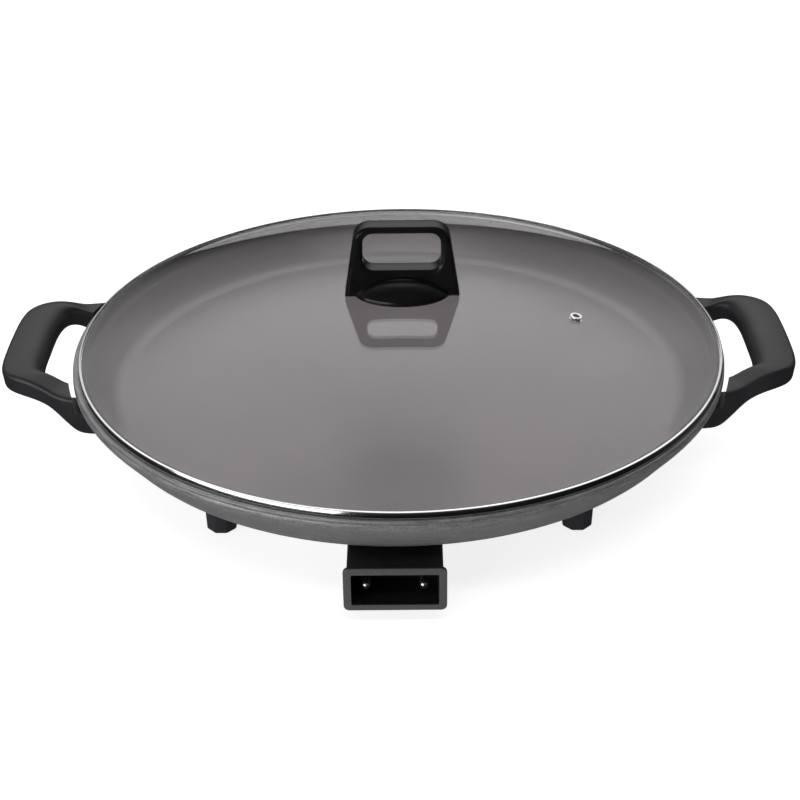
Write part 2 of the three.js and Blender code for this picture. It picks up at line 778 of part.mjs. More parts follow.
function makeGlass() {
  const points = [];
  for (let i = 0; i <= glassRings; i += 1) {
    const radius = lidHoleRadius + ((glassRadius - lidHoleRadius) * i) / glassRings;
    points.push([radius, glassBottomZ(radius)]);
  }
  for (let i = glassRings; i >= 0; i -= 1) {
    const radius = lidHoleRadius + ((glassRadius - lidHoleRadius) * i) / glassRings;
    points.push([radius, glassTopZ(radius)]);
  }
  points.push(points[0]);
  const dome = solid(turnedAboutZ(points, roundSteps));
  const drill = new THREE.CylinderGeometry(
    ventBarrelRadius + gap,
    ventBarrelRadius + gap,
    4 * glassThickness,
    ventSteps
  ).rotateX(Math.PI / 2);
  return geometryOf(dome.subtract(solid(setOnVent(drill))));
}

// Moves a shape that stands about the Z axis onto the glass at the vent, square to the glass.
function setOnVent(geometry) {
  const tilt = Math.asin(ventPlaceRadius / glassBallRadius);
  const middleZ = glassTopZ(ventPlaceRadius) - glassThickness / 2;
  return geometry
    .rotateY(tilt)
    .translate(ventPlaceRadius, 0, middleZ)
    .rotateZ(THREE.MathUtils.degToRad(ventAngle));
}

function makeBand() {
  const lip = glassRadius - bandLip;
  const inside = glassRadius + gap;
  const outside = inside + bandSheet;
  const points = [
    [lip, glassTopZ(lip) + gap],
    [lip, glassTopZ(lip) + gap + bandSheet],
    [outside - bandRound, glassTopZ(glassRadius) + gap + bandSheet],
    [outside, glassTopZ(glassRadius) + gap + bandSheet - bandRound],
    [outside, glassEdgeBottomZ - gap - bandSheet + bandRound],
    [outside - bandRound, glassEdgeBottomZ - gap - bandSheet],
    [lip, glassBottomZ(lip) - gap - bandSheet],
    [lip, glassBottomZ(lip) - gap],
    [inside, glassEdgeBottomZ - gap],
    [inside, glassTopZ(glassRadius) + gap],
    [lip, glassTopZ(lip) + gap],
  ];
  return geometryOf(solid(turnedAboutZ(points, roundSteps)));
}

// Steam vent: an eyelet with a flange on each side of the glass.
function makeVent() {
  const reach = glassThickness / 2 + gap;
  const round = ventFlangeThickness / 2;
  const points = [
    [ventHoleRadius, -reach - ventFlangeThickness],
    [ventFlangeRadius - round, -reach - ventFlangeThickness],
    [ventFlangeRadius, -reach - round],
    [ventFlangeRadius, -reach],
    [ventBarrelRadius, -reach],
    [ventBarrelRadius, reach],
    [ventFlangeRadius, reach],
    [ventFlangeRadius - round, reach + ventFlangeThickness],
    [ventHoleRadius, reach + ventFlangeThickness],
    [ventHoleRadius, -reach - ventFlangeThickness],
  ];
  return geometryOf(solid(setOnVent(turnedAboutZ(points, ventSteps))));
}

// Lid handle
const bridgeBottomZ = crownZ + gap;

function bridgeOutline() {
  const [base, top] = [bridgeBaseWidth / 2, bridgeTopWidth / 2];
  const lean = (base - top) / bridgeHeight;
  const shoulderZ = bridgeHeight - bridgeCorner;
  const shape = new THREE.Shape();
  shape.moveTo(-base, 0);
  shape.lineTo(base, 0);
  shape.lineTo(top + lean * bridgeCorner, shoulderZ);
  shape.quadraticCurveTo(top, bridgeHeight, top - bridgeCorner, bridgeHeight);
  shape.lineTo(bridgeCorner - top, bridgeHeight);
  shape.quadraticCurveTo(-top, bridgeHeight, -top - lean * bridgeCorner, shoulderZ);
  return shape;
}

function makeLidHandle() {
  const bridge = alongY(bridgeOutline(), -bridgeThickness / 2, bridgeThickness, 4, bridgeEdge);
  const window = alongY(
    roundedRectangle(windowWidth, windowHeight, windowCorner),
    -bridgeThickness / 2 - overrun,
    bridgeThickness + 2 * overrun,
    4
  ).translate(0, 0, windowSill + windowHeight / 2);
  const bellRadius = bellLength / 2;
  const bellPath = new THREE.Path();
  bellPath.moveTo(0, 0);
  bellPath.lineTo(bellRadius - bellLip / 4, 0);
  bellPath.lineTo(bellRadius, bellLip / 4);
  bellPath.lineTo(bellRadius, bellLip);
  bellPath.quadraticCurveTo(bellRadius / 2, bellLip + bellRise, 0, bellLip + bellRise);
  const bell = turnedPath(bellPath, bellSteps, 5).scale(1, bellWidth / bellLength, 1);
  const insertHole = upright(insertRadius + gap, -overrun, insertLength + 2 * gap);
  const body = solid(bridge).subtract(solid(window)).add(solid(bell)).subtract(solid(insertHole));
  return geometryOf(body).translate(0, 0, bridgeBottomZ);
}

// Threaded bush moulded into the lid handle.
function makeInsert() {
  const points = [
    [shankHole, 0],
    [insertRadius, 0],
    [insertRadius, insertLength],
    [shankHole, insertLength],
    [shankHole, 0],
  ];
  return geometryOf(solid(turnedAboutZ(points, smallSteps))).translate(0, 0, bridgeBottomZ + gap);
}

function flatRing(radius, thickness, topZ) {
  const points = [
    [shankHole, topZ - thickness],
    [radius, topZ - thickness],
    [radius, topZ],
    [shankHole, topZ],
    [shankHole, topZ - thickness],
  ];
  return geometryOf(solid(turnedAboutZ(points, 2 * smallSteps)));
}

// Assembly
const skillet = new THREE.Group();
skillet.name = 'electric_skillet';

skillet.add(named('pan', makePan(), castPaint()));
skillet.add(named('heating_element', makeElement(), finish(0x8b8f93, 0.45, 0.9)));

const socketGroup = new THREE.Group();
socketGroup.add(named('socket_housing', makeHousing(), blackMoulding()));
const sleeve = named('probe_sleeve', makeSleeve(), steel());
sleeve.position.set(socketShift, backWallY + gap, mouthMiddleZ);
socketGroup.add(sleeve);
for (const [label, side] of handleSides) {
  const pinX = socketShift + side * (pinSpacing / 2);
  const pin = named(`terminal_pin_${label}`, makePin(), steel());
  pin.position.set(pinX, pinTipY, mouthMiddleZ);
  const seal = named(`element_seal_${label}`, makeSeal(), ceramic());
  seal.position.set(pinX, backWallY + gap, mouthMiddleZ);
  const screwSeatZ = housingTopZ - earThickness - gap;
  const screw = named(
    `housing_screw_${label}`,
    makeScrew(baseZ + housingScrewBite - screwSeatZ),
    steel()
  );
  screw.position.set(socketShift + side * earScrewX, earScrewY, screwSeatZ);
  socketGroup.add(pin, seal, screw);
}
skillet.add(socketGroup);

for (const [label, x, y] of footPlaces) {
  const foot = named(`foot_${label}`, makeFoot(), blackMoulding());
  foot.position.set(x, y, 0);
  const seatZ = footWellDepth - gap;
  const length = baseZ - footBossDepth + footScrewBite - seatZ;
  const screw = named(`foot_screw_${label}`, makeScrew(length), steel());
  screw.position.set(x, y, seatZ);
  skillet.add(foot, screw);
}

for (const [label, side] of handleSides) {
  const handle = named(`side_handle_${label}`, makeSideHandle(), softBlack());
  handle.rotation.z = side < 0 ? Math.PI : 0;
  skillet.add(handle);
  for (const [endLabel, end] of armEnds) {
    const seatZ = lugBottomZ - gap - handleScrewShelf - gap;
    const length = lugBottomZ + handleScrewBite - seatZ;
    const screw = named(`handle_screw_${label}_${endLabel}`, makeScrew(length), steel());
    screw.position.set(side * handleScrewX, end * lugY, seatZ);
    skillet.add(screw);
  }
}

const lid = new THREE.Group();
lid.position.x = lidShift;
lid.add(named('lid_glass', makeGlass(), finish(0xdfe6e6, 0.05, 0)));
lid.add(named('lid_rim', makeBand(), finish(0xd8d9db, 0.15, 1)));
lid.add(named('steam_vent', makeVent(), finish(0xd8d9db, 0.2, 1)));
const handleGroup = new THREE.Group();
handleGroup.position.x = lidHandleShift;
const gasketTopZ = glassBottomZ(0) - gap;
const washerTopZ = gasketTopZ - gasketThickness - gap;
const lidScrewSeatZ = washerTopZ - washerThickness - gap;
const lidScrew = named(
  'lid_screw',
  makeScrew(bridgeBottomZ + insertLength - screwRadius - lidScrewSeatZ),
  steel()
);
lidScrew.position.z = lidScrewSeatZ;
handleGroup.add(
  lidScrew,
  named('lid_handle', makeLidHandle(), blackMoulding()),
  named('lid_handle_insert', makeInsert(), finish(0xc9a24a, 0.35, 1)),
  named('lid_gasket', flatRing(gasketRadius, gasketThickness, gasketTopZ), finish(0x9a9a96, 0.8, 0)),
  named('lid_washer', flatRing(washerRadius, washerThickness, washerTopZ), steel())
);
lid.add(handleGroup);
skillet.add(lid);

export default skillet;
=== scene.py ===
import math

import bmesh
import bpy
from mathutils import Matrix, Vector


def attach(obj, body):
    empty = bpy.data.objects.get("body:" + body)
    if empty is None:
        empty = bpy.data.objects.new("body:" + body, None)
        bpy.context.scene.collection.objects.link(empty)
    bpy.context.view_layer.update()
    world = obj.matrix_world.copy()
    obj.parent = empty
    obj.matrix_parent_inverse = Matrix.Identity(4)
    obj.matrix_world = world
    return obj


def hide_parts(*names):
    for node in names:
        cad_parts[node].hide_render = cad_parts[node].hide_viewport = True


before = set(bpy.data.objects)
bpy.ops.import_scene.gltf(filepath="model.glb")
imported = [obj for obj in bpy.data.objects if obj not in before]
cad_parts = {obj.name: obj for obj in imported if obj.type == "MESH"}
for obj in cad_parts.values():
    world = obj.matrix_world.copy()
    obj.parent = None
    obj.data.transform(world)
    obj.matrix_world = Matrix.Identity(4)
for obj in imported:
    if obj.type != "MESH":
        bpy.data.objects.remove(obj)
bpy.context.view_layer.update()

# Sizes are in millimetres and become metres when a piece is finished.

# ---- Pan casting ----
# One heavy aluminium casting: rim, side wall, flat base, the ribs that the element lies between, four foot bosses,
# the boss for the probe sleeve and four lugs that carry the side handles. The outside is turned and then sprayed
# with a metallic grey paint, so the turning shows through as fine level streaks.


def turned(profile, steps, sweep=360.0, ring=False):
    """Turns (radius, height, rounding) points about the upright axis, with each corner rounded first."""
    bm = bmesh.new()
    row = [bm.verts.new((radius, 0.0, height)) for radius, height, _ in profile]
    for pair in list(zip(row, row[1:])) + ([(row[-1], row[0])] if ring else []):
        bm.edges.new(pair)
    for corner, (_, _, rounding) in zip(row, profile):
        if rounding:
            bmesh.ops.bevel(bm, geom=[corner], offset=rounding, offset_type="OFFSET", segments=5,
                            profile=0.5, affect="VERTICES", material=-1)
    whole = sweep >= 360.0
    if ring and not whole:
        bmesh.ops.contextual_create(bm, geom=bm.edges[:])
    bmesh.ops.spin(bm, geom=bm.verts[:] + bm.edges[:] + bm.faces[:], cent=(0, 0, 0), axis=(0, 0, 1),
                   dvec=(0, 0, 0), angle=math.radians(sweep), steps=steps, use_merge=whole)
    bmesh.ops.remove_doubles(bm, verts=bm.verts[:], dist=0.0005)
    bmesh.ops.recalc_face_normals(bm, faces=bm.faces[:])
    return bm


def block(low, high, rounding=0.0, along=None):
    """A block between two corners, with all its edges rounded, or only those that run along one axis."""
    bm = bmesh.new()
    size = Vector(high) - Vector(low)
    middle = (Vector(high) + Vector(low)) / 2
    bmesh.ops.create_cube(bm, size=1.0, matrix=Matrix.Translation(middle) @ Matrix.Diagonal((*size, 1.0)))
    if rounding:
        edges = [e for e in bm.edges if along is None or abs((e.verts[0].co - e.verts[1].co)[along]) > 0.001]
        bmesh.ops.bevel(bm, geom=edges, offset=rounding, offset_type="OFFSET", segments=4,
                        profile=0.5, affect="EDGES", material=-1)
    return bm


def add_to(bm, part, place=Matrix()):
    """Adds a part to a body at its place."""
    bmesh.ops.transform(part, matrix=place, verts=part.verts[:])
    bmesh.ops.recalc_face_normals(part, faces=part.faces[:])
    mesh = bpy.data.meshes.new("part")
    part.to_mesh(mesh)
    part.free()
    bm.from_mesh(mesh)
    bpy.data.meshes.remove(mesh)


def finish_piece(name, bm, material, slot, body, *nodes, sharp=32.0):
    """Makes the finished piece in metres, smooth except along its sharp edges, and seats it in the frame."""
    bmesh.ops.scale(bm, vec=(0.001, 0.001, 0.001), verts=bm.verts[:])
    for face in bm.faces:
        face.smooth = True
    mesh = bpy.data.meshes.new(name)
    bm.to_mesh(mesh)
    bm.free()
    mesh.set_sharp_from_angle(angle=math.radians(sharp))
    mesh.materials.append(material)
    made = bpy.data.objects.new(name, mesh)
    bpy.context.scene.collection.objects.link(made)
    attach(made, body)
    if nodes:
        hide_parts(*nodes)
    return made


def add_node(material, kind, inputs=None, **settings):
    """Adds a shader node, sets it, and joins the sockets that are given."""
    node = material.node_tree.nodes.new(kind)
    for setting, value in settings.items():
        setattr(node, setting, value)
    for socket, value in (inputs or {}).items():
        if isinstance(value, bpy.types.NodeSocket):
            material.node_tree.links.new(value, node.inputs[socket])
        else:
            node.inputs[socket].default_value = value
    return node


def new_material(name, **shader):
    """A material with its main shader's plain values set on their sockets."""
    material = bpy.data.materials.new(name)
    material.use_nodes = True
    main = material.node_tree.nodes["Principled BSDF"]
    for socket, value in shader.items():
        main.inputs[socket.replace("_", " ")].default_value = value
    return material, main


def shade(material, factor, dark, light, low=0.3, high=0.7):
    """Runs a pattern between two colours."""
    ramp = add_node(material, "ShaderNodeValToRGB", {"Fac": factor})
    ramp.color_ramp.elements[0].position = low
    ramp.color_ramp.elements[0].color = (*dark, 1.0)
    ramp.color_ramp.elements[1].position = high
    ramp.color_ramp.elements[1].color = (*light, 1.0)
    return ramp.outputs["Color"]


def set_finish(material, main, colour, roughness, spread, grain, height, depth, strength):
    """Joins the colour, the roughness with its spread over the grain, and the relief to the main shader."""
    join = material.node_tree.links.new
    join(colour, main.inputs["Base Color"])
    rough = add_node(material, "ShaderNodeMapRange", {"Value": grain, "To Min": roughness - spread,
                                                      "To Max": roughness + spread})
    join(rough.outputs["Result"], main.inputs["Roughness"])
    relief = add_node(material, "ShaderNodeBump", {"Height": height, "Distance": depth, "Strength": strength})
    join(relief.outputs["Normal"], main.inputs["Normal"])
    return material


def cast_paint():
    material, main = new_material("cast_paint", Metallic=0.55, Specular_IOR_Level=0.4)
    place = add_node(material, "ShaderNodeTexCoord").outputs["Object"]
    flat = add_node(material, "ShaderNodeVectorMath", {0: place, 1: (1.0, 1.0, 0.0)}, operation="MULTIPLY")
    radius = add_node(material, "ShaderNodeVectorMath", {0: flat.outputs[0]}, operation="LENGTH").outputs["Value"]
    height = add_node(material, "ShaderNodeSeparateXYZ", {0: place}).outputs["Z"]
    level = add_node(material, "ShaderNodeMath", {0: radius, 1: height}, operation="ADD").outputs[0]
    spread = add_node(material, "ShaderNodeVectorMath", {0: flat.outputs[0], 1: (75.0, 75.0, 0.0)},
                      operation="MULTIPLY")
    rise = add_node(material, "ShaderNodeMath", {0: level, 1: 1150.0}, operation="MULTIPLY").outputs[0]
    lift = add_node(material, "ShaderNodeCombineXYZ", {"Z": rise})
    along = add_node(material, "ShaderNodeVectorMath", {0: spread.outputs[0], 1: lift.outputs[0]}, operation="ADD")
    streaks = add_node(material, "ShaderNodeTexNoise", {"Vector": along.outputs[0], "Scale": 1.0, "Detail": 5.0,
                                                        "Roughness": 0.65})
    speckle = add_node(material, "ShaderNodeTexNoise", {"Vector": place, "Scale": 900.0, "Detail": 3.0,
                                                        "Roughness": 0.7})
    both = add_node(material, "ShaderNodeMix", {0: 0.45, 2: streaks.outputs["Fac"], 3: speckle.outputs["Fac"]},
                    data_type="FLOAT").outputs[0]
    colour = shade(material, both, (0.15, 0.15, 0.155), (0.40, 0.40, 0.405), 0.36, 0.66)
    return set_finish(material, main, colour, 0.42, 0.1, streaks.outputs["Fac"], both, 0.00018, 0.55)


# outside from the middle of the base to the rim, then inside back to the middle
pan_outside = [(0.0, 38.0, 0), (183.5, 38.0, 10.5), (192.8, 50.0, 4.0), (202.5, 62.0, 2.0), (205.2, 66.4, 1.4),
               (204.6, 69.0, 0.35), (204.05, 69.35, 0.12), (204.35, 69.75, 0.15), (204.75, 69.9, 0.15),
               (204.55, 71.2, 0.55)]
pan_inside = [(200.1, 71.2, 0.5), (199.7, 68.5, 0.5), (197.4, 64.3, 1.2), (194.7, 62.0, 1.4), (184.9, 50.3, 3.0),
              (179.6, 44.0, 5.5), (0.0, 44.0, 0)]
film = 0.25
fine_steps = 224  # faces round the large turned pieces
pan = turned(pan_outside + [(r + (film if r else 0.0), z - (film if z < 71 else 0.0), c) for r, z, c in pan_inside],
             fine_steps)
gate = 16.9  # half the opening in the ribs, in degrees, where the element's legs come in
for inner, outer in ((117.4, 120.4), (129.6, 132.6)):
    rib = turned([(inner + 0.3, 31.0, 0.8), (outer - 0.3, 31.0, 0.8), (outer + 0.2, 38.4, 0), (inner - 0.2, 38.4, 0)],
                 160, 360.0 - 2 * gate, ring=True)
    add_to(pan, rib, Matrix.Rotation(math.radians(-90.0 - 0.9 + gate), 4, "Z"))
foot_places = {"front_left": (-107.03, -101.93), "front_right": (107.03, -101.93),
               "rear_left": (-107.03, 101.93), "rear_right": (107.03, 101.93)}
for x, y in foot_places.values():
    boss = turned([(0.0, 33.0, 0), (9.6, 33.0, 0.6), (10.2, 37.0, 1.0), (12.4, 38.4, 0), (0.0, 38.4, 0)], 48)
    add_to(pan, boss, Matrix.Translation((x, y, 0.0)))
probe_boss = block((-10.0, -145.7, 16.15), (6.0, -95.7, 38.4))
under_edges = [e for e in probe_boss.edges if e.verts[0].co.z + e.verts[1].co.z < 33.0
               and abs(e.verts[0].co.y - e.verts[1].co.y) > 1.0]
bmesh.ops.bevel(probe_boss, geom=under_edges, offset=7.6, offset_type="OFFSET", segments=6, profile=0.5,
                affect="EDGES", material=-1)
add_to(pan, probe_boss)
lug_y, screw_hole = 57.0, 2.3
lug_places = [(side, end) for side in (-1, 1) for end in (-1, 1)]
for side, end in lug_places:
    lug = block((184.5, end * lug_y - 4.5, 51.3), (201.0, end * lug_y + 4.5, 58.3), 0.8)
    add_to(pan, lug, Matrix.Diagonal((side, 1.0, 1.0, 1.0)))
finish_piece("pan_casting", pan, cast_paint(), "pan_casting", "base", "pan", sharp=38.0)

# ---- Non-stick coating ----
# The inside of the pan carries a baked non-stick coating over a blasted surface: a warm mid grey with a fine, even
# tooth. It is a film on the casting, so it follows the floor, the fillet, the wall and the ledge up to the rim.
lining = turned([(0.0, 44.0 - 0.2, 0)] + [(r + 0.2, z - 0.2, c) for r, z, c in reversed(pan_inside[1:-1])]
                + [(200.25, 71.0, 0), (200.05, 71.05, 0)] + pan_inside[1:], fine_steps)


def coating():
    material, main = new_material("non_stick_coating", Metallic=0.65, Specular_IOR_Level=0.5)
    place = add_node(material, "ShaderNodeTexCoord").outputs["Object"]
    cloud = add_node(material, "ShaderNodeTexNoise", {"Vector": place, "Scale": 14.0, "Detail": 2.0})
    tooth = add_node(material, "ShaderNodeTexNoise", {"Vector": place, "Scale": 1300.0, "Detail": 3.0,
                                                      "Roughness": 0.75})
    both = add_node(material, "ShaderNodeMix", {0: 0.55, 2: cloud.outputs["Fac"], 3: tooth.outputs["Fac"]},
                    data_type="FLOAT").outputs[0]
    colour = shade(material, both, (0.100, 0.082, 0.090), (0.158, 0.131, 0.143))
    return set_finish(material, main, colour, 0.33, 0.05, tooth.outputs["Fac"], tooth.outputs["Fac"], 0.0001, 0.28)


finish_piece("pan_lining", lining, coating(), "pan_coating", "base")


def turned_edge():
    material, main = new_material("turned_aluminium", Metallic=1.0)
    place = add_node(material, "ShaderNodeTexCoord").outputs["Object"]
    marks = add_node(material, "ShaderNodeTexNoise", {"Vector": place, "Scale": 420.0, "Detail": 3.0})
    colour = shade(material, marks.outputs["Fac"], (0.70, 0.70, 0.71), (0.88, 0.88, 0.89))
    return set_finish(material, main, colour, 0.3, 0.08, marks.outputs["Fac"], marks.outputs["Fac"], 0.00003, 0.3)


# the last turning cut leaves a narrow bare line along the inner edge of the rim
bare_edge = turned([(200.5, 71.15, 0), (200.05, 71.3, 0.15), (199.75, 70.95, 0.15), (199.68, 70.1, 0),
                    (200.3, 70.1, 0)], fine_steps, ring=True)
finish_piece("rim_bare_edge", bare_edge, turned_edge(), "pan_casting", "base")

# ---- Heating element ----
# A steel-sheathed tubular element bent to a ring that lies between the ribs under the base. Its two legs drop to
# the height of the socket, where each ends in a ceramic seal with a bright steel terminal pin through it.
element_z, socket_x, socket_z, pin_offset, seal_front = 33.7, -2.0, 24.15, 15.9, -170.7
ring_radius, ring_start = 125.0, 36.0
leg_front, leg_back = -160.0, -math.sqrt(ring_radius ** 2 - ring_start ** 2)


def tube(route, radius, sides):
    """A round tube along a smooth route."""
    curve = bpy.data.curves.new("route", "CURVE")
    curve.dimensions = "3D"
    curve.resolution_u = 5
    curve.bevel_depth = radius
    curve.bevel_resolution = sides
    curve.use_fill_caps = True
    spline = curve.splines.new("BEZIER")
    spline.bezier_points.add(len(route) - 1)
    for point, place in zip(spline.bezier_points, route):
        point.co = place
        point.handle_left_type = point.handle_right_type = "AUTO"
    carrier = bpy.data.objects.new("route", curve)
    bpy.context.scene.collection.objects.link(carrier)
    bm = bmesh.new()
    made = bpy.data.meshes.new_from_object(carrier.evaluated_get(bpy.context.evaluated_depsgraph_get()))
    bm.from_mesh(made)
    bpy.data.objects.remove(carrier)
    bpy.data.curves.remove(curve)
    bpy.data.meshes.remove(made)
    bmesh.ops.remove_doubles(bm, verts=bm.verts[:], dist=0.0005)
    bmesh.ops.recalc_face_normals(bm, faces=bm.faces[:])
    return bm


leg_steps = [(0.0, 0.0, 0.0), (0.2, 0.0, 0.0), (0.35, 0.0, 0.15), (0.52, 0.02, 0.67), (0.69, 0.13, 0.95),
             (0.88, 0.5, 1.0)]


def element_leg(side):
    start = socket_x + side * pin_offset
    return [(start + (side * ring_start - start) * out, leg_front + (leg_back - leg_front) * back,
             socket_z + (element_z - socket_z) * climb) for back, out, climb in leg_steps]


start_angle = math.acos(ring_start / ring_radius)
ring_route = [(ring_radius * math.cos(a), ring_radius * math.sin(a), element_z)
              for a in [-start_angle + (math.pi + 2 * start_angle) * i / 40 for i in range(41)]]
element = tube(element_leg(1) + ring_route + element_leg(-1)[::-1], 4.0, 5)


def worn_steel(name, dark, light, roughness, grain=260.0, depth=0.00004):
    """Bare steel with drawing marks and light handling wear."""
    material, main = new_material(name, Metallic=1.0)
    place = add_node(material, "ShaderNodeTexCoord").outputs["Object"]
    marks = add_node(material, "ShaderNodeTexNoise", {"Vector": place, "Scale": grain, "Detail": 4.0,
                                                      "Roughness": 0.6})
    wear = add_node(material, "ShaderNodeTexNoise", {"Vector": place, "Scale": 45.0, "Detail": 2.0})
    colour = shade(material, wear.outputs["Fac"], dark, light)
    return set_finish(material, main, colour, roughness, roughness * 0.35, marks.outputs["Fac"],
                      marks.outputs["Fac"], depth, 0.4)


finish_piece("element_ring", element, worn_steel("element_sheath", (0.26, 0.25, 0.24), (0.42, 0.41, 0.40), 0.42),
             "element_sheath", "base", "heating_element")
pin_steel = worn_steel("pin_steel", (0.80, 0.80, 0.81), (0.92, 0.92, 0.93), 0.26, 400.0, 0.00001)


def ceramic():
    material, main = new_material("seal_ceramic", Specular_IOR_Level=0.4)
    place = add_node(material, "ShaderNodeTexCoord").outputs["Object"]
    pores = add_node(material, "ShaderNodeTexNoise", {"Vector": place, "Scale": 700.0, "Detail": 3.0})
    colour = shade(material, pores.outputs["Fac"], (0.66, 0.62, 0.53), (0.84, 0.81, 0.73))
    return set_finish(material, main, colour, 0.6, 0.1, pores.outputs["Fac"], pores.outputs["Fac"], 0.00006, 0.5)


seal_ceramic = ceramic()
for side, label in ((-1, "left"), (1, "right")):
    x = socket_x + side * pin_offset
    lie_back = Matrix.Rotation(math.radians(-90.0), 4, "X")
    pin = turned([(0.0, 0.0, 0), (2.4, 0.0, 2.3), (2.4, 37.7, 0.2), (0.0, 37.7, 0)], 40)
    bmesh.ops.transform(pin, matrix=Matrix.Translation((x, -198.0, socket_z)) @ lie_back, verts=pin.verts[:])
    finish_piece("pin_" + label, pin, pin_steel, "pin_steel", "base", "terminal_pin_" + label)
    seal = turned([(2.7, 0.0, 0.2), (4.6, 0.0, 0.6), (4.6, 4.4, 0.1), (4.1, 4.9, 0.1), (4.1, 5.5, 0.1),
                   (4.6, 6.0, 0.1), (4.6, 10.4, 0.6), (2.7, 10.4, 0.2)], 40, ring=True)
    bmesh.ops.transform(seal, matrix=Matrix.Translation((x, seal_front, socket_z)) @ lie_back, verts=seal.verts[:])
    finish_piece("seal_" + label, seal, seal_ceramic, "ceramic_seal", "base", "element_seal_" + label)

# ---- Probe sleeve ----
# A blind tube of drawn stainless steel between the two pins. It takes the temperature probe of a plug-in heat
# control, and its far end sits in a boss of the casting so that it feels the heat of the pan.
sleeve = turned([(0.0, 70.7, 0), (4.6, 70.7, 1.2), (4.6, 0.0, 0.15), (4.0, 0.0, 0.15), (4.0, 70.1, 1.0),
                 (0.0, 70.1, 0)], 40)
bmesh.ops.transform(sleeve, matrix=Matrix.Translation((socket_x, seal_front, socket_z))
                    @ Matrix.Rotation(math.radians(-90.0), 4, "X"), verts=sleeve.verts[:])
finish_piece("probe_tube", sleeve, worn_steel("sleeve_steel", (0.55, 0.55, 0.56), (0.72, 0.72, 0.73), 0.25),
             "pin_steel", "base", "probe_sleeve")

# ---- Terminal socket ----
# A black moulding of heat-resistant plastic: a flanged mouth, a back wall that the pins and the probe pass, and a
# hood over the element's cold ends. Two pan-head screws through its ears hold it to the underside of the casting.


def cut(bm, tool, operation="DIFFERENCE"):
    """Cuts one body with another, or joins the two into one skin."""
    bodies = []
    for part in (bm, tool):
        bmesh.ops.recalc_face_normals(part, faces=part.faces[:])
        mesh = bpy.data.meshes.new("part")
        part.to_mesh(mesh)
        part.free()
        bodies.append(bpy.data.objects.new("part", mesh))
        bpy.context.scene.collection.objects.link(bodies[-1])
    step = bodies[0].modifiers.new("cut", "BOOLEAN")
    step.operation, step.solver, step.object = operation, "EXACT", bodies[1]
    made = bmesh.new()
    made.from_object(bodies[0], bpy.context.evaluated_depsgraph_get())
    for body in bodies:
        mesh = body.data
        bpy.data.objects.remove(body)
        bpy.data.meshes.remove(mesh)
    return made


def round_edges(bm, size, angle=50.0):
    """Rounds every edge that turns more sharply than an angle."""
    edges = [e for e in bm.edges if len(e.link_faces) == 2 and e.calc_face_angle(0.0) > math.radians(angle)]
    bmesh.ops.bevel(bm, geom=edges, offset=size, offset_type="OFFSET", segments=3, profile=0.5,
                    affect="EDGES", material=-1, clamp_overlap=False)


ear_x, ear_y = 32.05, -157.0
flange = block((-28.5, -201.0, 10.4), (28.5, -198.4, 38.3), 3.2, along=1)
round_edges(flange, 0.55)
shell = block((-26.45, -199.6, 13.05), (26.45, -146.0, 37.7), 1.4, along=1)
housing = cut(flange, shell, "UNION")
for side in (-1, 1):
    ear = block((-37.05, -165.0, 31.7), (-24.0, -149.0, 37.0), 1.6, along=2)
    bmesh.ops.transform(ear, matrix=Matrix.Diagonal((-side, 1.0, 1.0, 1.0)), verts=ear.verts[:])
    housing = cut(housing, ear, "UNION")
    ear_hole = turned([(0.0, 30.0, 0), (screw_hole, 30.0, 0), (screw_hole, 40.0, 0), (0.0, 40.0, 0)], 32)
    bmesh.ops.translate(ear_hole, vec=(side * ear_x, ear_y, 0.0), verts=ear_hole.verts[:])
    housing = cut(housing, ear_hole)
housing = cut(housing, block((-24.15, -203.0, 14.1), (24.15, -175.0, 34.2), 0.8, along=1))
housing = cut(housing, block((-23.05, -171.0, 16.45), (23.05, -144.0, 34.3), 0.8, along=1))
for x, radius in ((-pin_offset, 2.7), (0.0, 4.3), (pin_offset, 2.7)):
    hole = turned([(0.0, 0.0, 0), (radius, 0.0, 0), (radius, 8.0, 0), (0.0, 8.0, 0)], 32)
    bmesh.ops.transform(hole, matrix=Matrix.Translation((x, -177.0, socket_z))
                        @ Matrix.Rotation(math.radians(-90.0), 4, "X"), verts=hole.verts[:])
    housing = cut(housing, hole)
bmesh.ops.translate(housing, vec=(socket_x, 0.0, 0.0), verts=housing.verts[:])


def moulding(name, dark, light, roughness, grain, depth, gloss=0.5):
    """Moulded plastic with the fine spark grain of its tool and faint flow marks."""
    material, main = new_material(name, Specular_IOR_Level=gloss)
    place = add_node(material, "ShaderNodeTexCoord").outputs["Object"]
    flow = add_node(material, "ShaderNodeTexNoise", {"Vector": place, "Scale": 22.0, "Detail": 3.0,
                                                     "Distortion": 0.6})
    spark = add_node(material, "ShaderNodeTexNoise", {"Vector": place, "Scale": grain, "Detail": 3.0,
                                                      "Roughness": 0.6})
    colour = shade(material, flow.outputs["Fac"], dark, light)
    return set_finish(material, main, colour, roughness, roughness * 0.15, spark.outputs["Fac"],
                      spark.outputs["Fac"], depth, 0.5)


socket_plastic = moulding("socket_plastic", (0.007, 0.007, 0.008), (0.012, 0.012, 0.013), 0.3, 900.0, 0.00003,
                          gloss=0.35)
